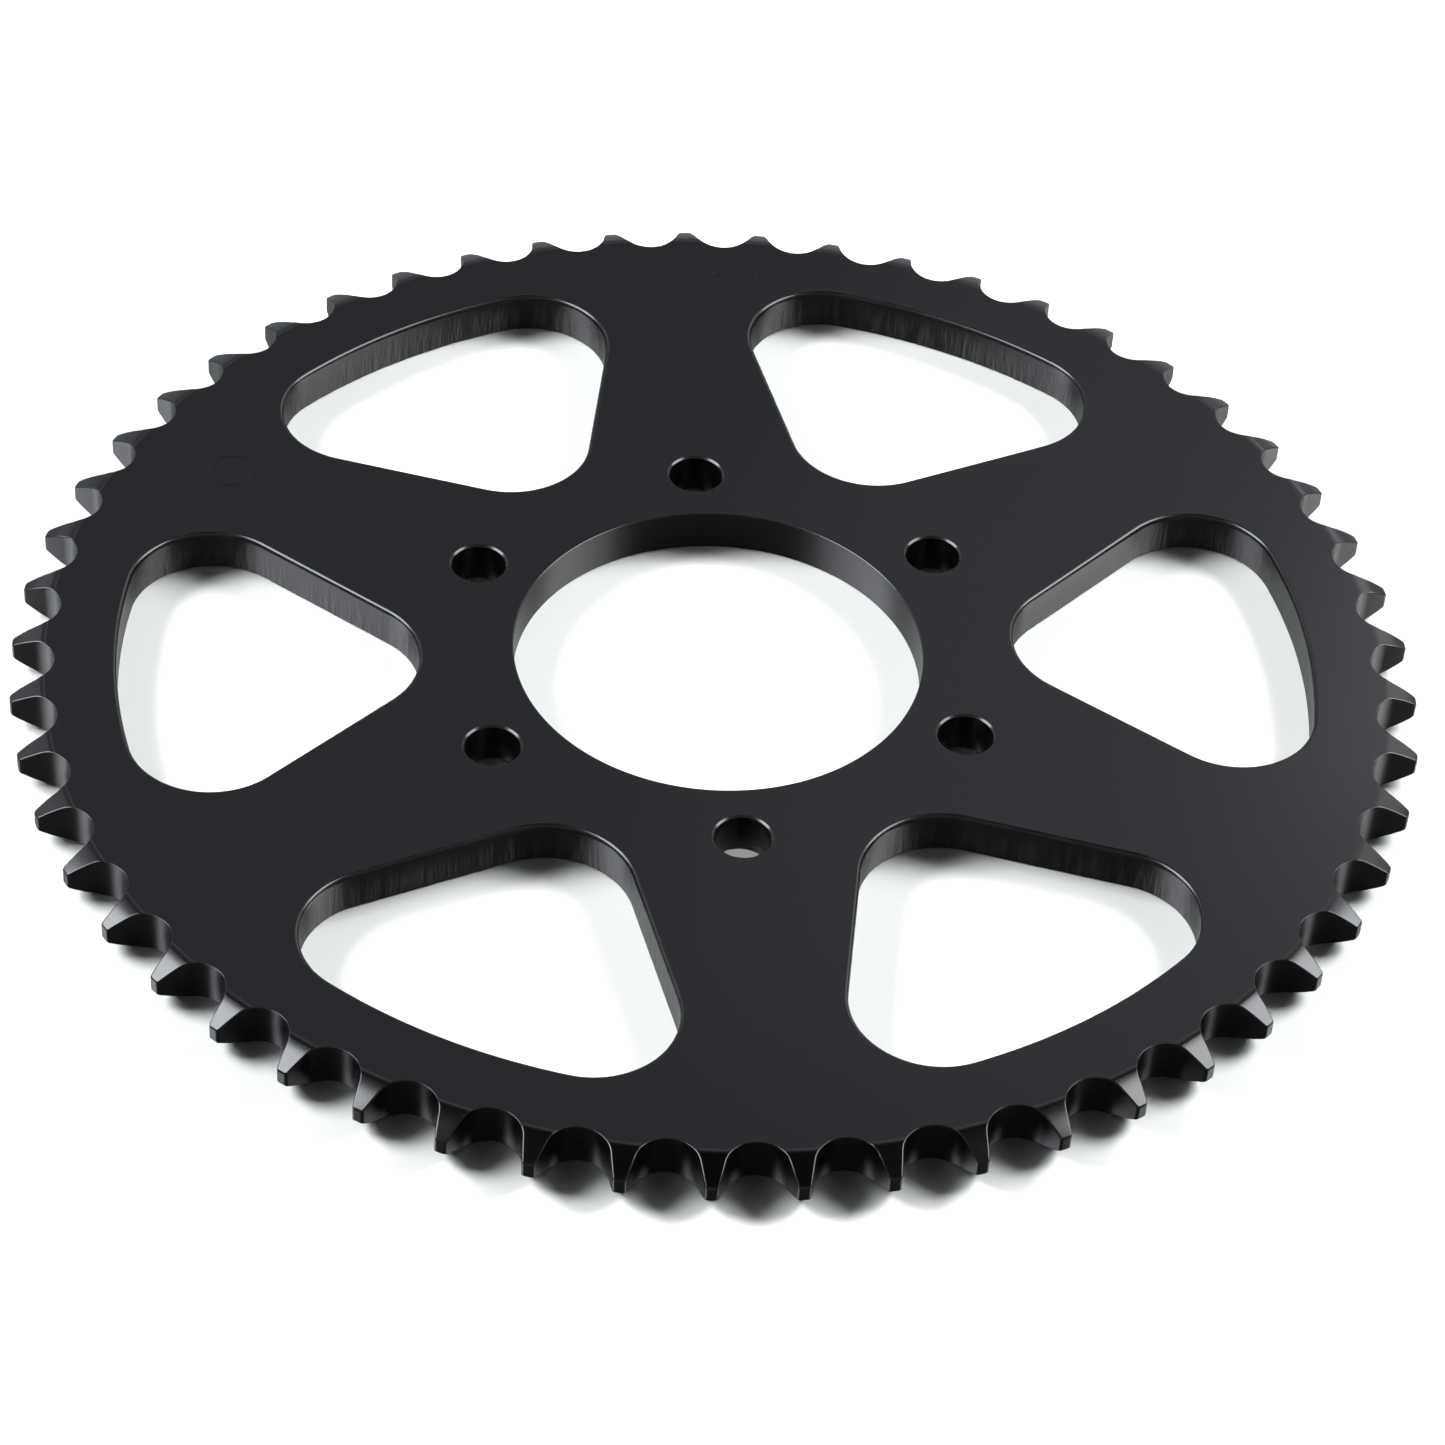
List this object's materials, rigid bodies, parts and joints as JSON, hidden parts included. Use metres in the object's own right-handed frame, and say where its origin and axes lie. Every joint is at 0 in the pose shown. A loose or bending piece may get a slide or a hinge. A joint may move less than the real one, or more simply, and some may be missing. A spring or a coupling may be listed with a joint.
{
  "type": "rear sprocket",
  "caption": "Flat black steel chain sprocket for a motorcycle rear wheel, with bevelled teeth, rounded triangular windows, a plain centre bore and a ring of bolt holes.",
  "frame": {"origin": "on the bore axis, in the plane of the inner face, which the plate lies on", "axes": "+Z along the bore axis from the inner face to the outer face; +X through the middle of a lightening window"},
  "size_m": [0.2193, 0.2194, 0.007],
  "materials": {
    "black_coated_steel": "even satin black coating over smooth steel"
  },
  "bodies": {
    "root": {"sprocket_plate": "black_coated_steel"}
  },
  "joints": []
}
